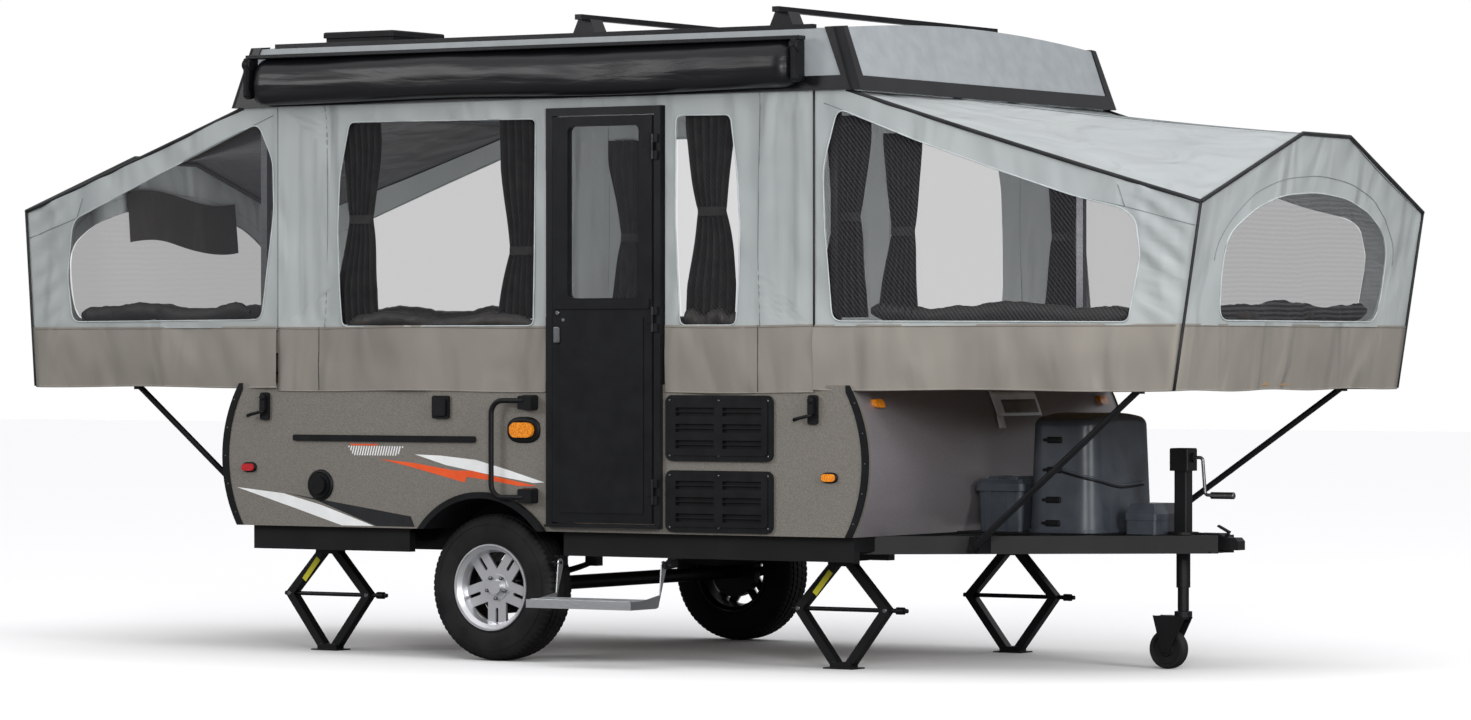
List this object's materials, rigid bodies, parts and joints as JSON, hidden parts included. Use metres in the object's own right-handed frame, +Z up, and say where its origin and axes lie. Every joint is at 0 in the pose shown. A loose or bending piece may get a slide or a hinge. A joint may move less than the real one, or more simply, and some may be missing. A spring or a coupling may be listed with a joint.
{
  "type": "folding camper trailer",
  "caption": "Folding camping trailer set up for use: hard lift-up roof, canvas tent walls, slide-out bunk ends, entrance door, step, hitch jack and corner jacks.",
  "frame": {"origin": "centre of the tow ball inside the coupler, 500 mm above the ground", "axes": "+X forwards to the tow vehicle, +Y to the trailer's left, +Z up; the entrance is on the right side, at -Y"},
  "size_m": [5.8575, 2.4083, 2.679],
  "materials": {
    "frame_black": "satin",
    "steel": "plated",
    "alloy": "bright",
    "tyre": "matt",
    "body_grey": "fine speckle",
    "body_dark": "metallic",
    "trim_black": "satin",
    "roof_grey": "satin gel coat",
    "canvas": "coated canvas",
    "mesh": "insect mesh",
    "vinyl_black": "vinyl",
    "foam": "woven cover",
    "board": "sealed plywood",
    "slate_plastic": "grained",
    "amber": "moulded lens",
    "red": "moulded lens",
    "rubber": "matt"
  },
  "bodies": {
    "trailer": {"chassis_frame": "frame_black", "hitch_coupler": "frame_black", "axle_beam": "frame_black", "leaf_springs": "frame_black", "box_floor": "board", "side_wall_right": "body_grey", "side_wall_left": "body_grey", "front_wall": "body_dark", "rear_wall": "body_dark", "corner_trims": "trim_black", "wheel_wells": "trim_black", "roof_shell": "roof_grey", "roof_trims": "trim_black", "roof_side_rails": "trim_black", "roof_vent_base": "trim_black", "roof_rack": "alloy", "awning_bag": "vinyl_black", "lift_posts": "steel", "tent_walls": "canvas", "screens_walls": "mesh", "door_frame": "alloy", "step_bracket": "frame_black", "tongue_jack": "frame_black", "jack_crank": "steel", "jack_leg": "steel", "tongue_tray": "frame_black", "gas_cover": "slate_plastic", "battery_box": "trim_black", "accessory_box": "trim_black", "corner_jacks_front": "frame_black", "corner_jacks_rear": "frame_black", "appliance_vents": "trim_black", "amber_lamps": "amber", "red_lamps": "red", "side_latches": "trim_black", "side_fittings": "trim_black", "grab_handle": "trim_black"},
    "right_wheel": {"tyre_right": "tyre", "rim_right": "alloy"},
    "left_wheel": {"tyre_left": "tyre", "rim_left": "alloy"},
    "caster_swivel_body": {"caster_fork": "steel"},
    "caster_roller": {"caster_wheel": "rubber"},
    "entrance_door": {"door": "trim_black", "door_screen": "mesh"},
    "folding_step": {"entry_step": "alloy"},
    "front_bunk": {"bunk_front": "board", "mattress_front": "foam", "tent_bow_front": "steel", "tent_bunk_front": "canvas", "screens_bunk_front": "mesh"},
    "rear_bunk": {"bunk_rear": "board", "mattress_rear": "foam", "tent_bow_rear": "steel", "tent_bunk_rear": "canvas", "screens_bunk_rear": "mesh"},
    "front_struts": {"bunk_struts_front": "steel"},
    "rear_struts": {"bunk_struts_rear": "steel"},
    "vent_lid": {"roof_vent_lid": "trim_black"}
  },
  "joints": [
    {"name": "right_wheel_spin", "type": "hinge", "parent": "trailer", "child": "right_wheel", "pos_m": [-2.919, -0.9375, -0.195], "axis": [0, 1, 0], "continuous": true},
    {"name": "left_wheel_spin", "type": "hinge", "parent": "trailer", "child": "left_wheel", "pos_m": [-2.919, 0.9375, -0.195], "axis": [0, 1, 0], "continuous": true},
    {"name": "caster_swivel", "type": "hinge", "parent": "trailer", "child": "caster_swivel_body", "pos_m": [-0.222, 0, -0.28], "axis": [0, 0, 1], "continuous": true},
    {"name": "caster_spin", "type": "hinge", "parent": "caster_swivel_body", "child": "caster_roller", "pos_m": [-0.288, 0, -0.42], "axis": [0, 1, 0], "continuous": true},
    {"name": "door_swing", "type": "hinge", "parent": "trailer", "child": "entrance_door", "pos_m": [-2.0645, -1.11, 0.9], "axis": [0, 0, 1], "range_deg": [0, 110]},
    {"name": "step_fold", "type": "hinge", "parent": "trailer", "child": "folding_step", "pos_m": [-2.298, -1.052, -0.083], "axis": [1, 0, 0], "range_deg": [0, 95]},
    {"name": "front_bunk_slide", "type": "slide", "parent": "trailer", "child": "front_bunk", "axis": [-1, 0, 0], "range_m": [0, 1.38], "deforming": ["tent_bunk_front", "screens_bunk_front"]},
    {"name": "front_strut_fold", "type": "hinge", "parent": "trailer", "child": "front_struts", "pos_m": [-0.795, 0, 0], "axis": [0, 1, 0], "range_deg": [0, 34]},
    {"name": "rear_bunk_slide", "type": "slide", "parent": "trailer", "child": "rear_bunk", "axis": [1, 0, 0], "range_m": [0, 1.16], "deforming": ["tent_bunk_rear", "screens_bunk_rear"]},
    {"name": "rear_strut_fold", "type": "hinge", "parent": "trailer", "child": "rear_struts", "pos_m": [-4.275, 0, 0], "axis": [0, -1, 0], "range_deg": [0, 44]},
    {"name": "roof_vent_lift", "type": "hinge", "parent": "trailer", "child": "vent_lid", "pos_m": [-3.934, -0.64, 2.13266], "axis": [0, -1, 0], "range_deg": [0, 70]}
  ],
  "couplings": [
    {"joint": "front_strut_fold", "follows": "front_bunk_slide", "rad_per_m": 0.42997},
    {"joint": "rear_strut_fold", "follows": "rear_bunk_slide", "rad_per_m": 0.66195}
  ]
}
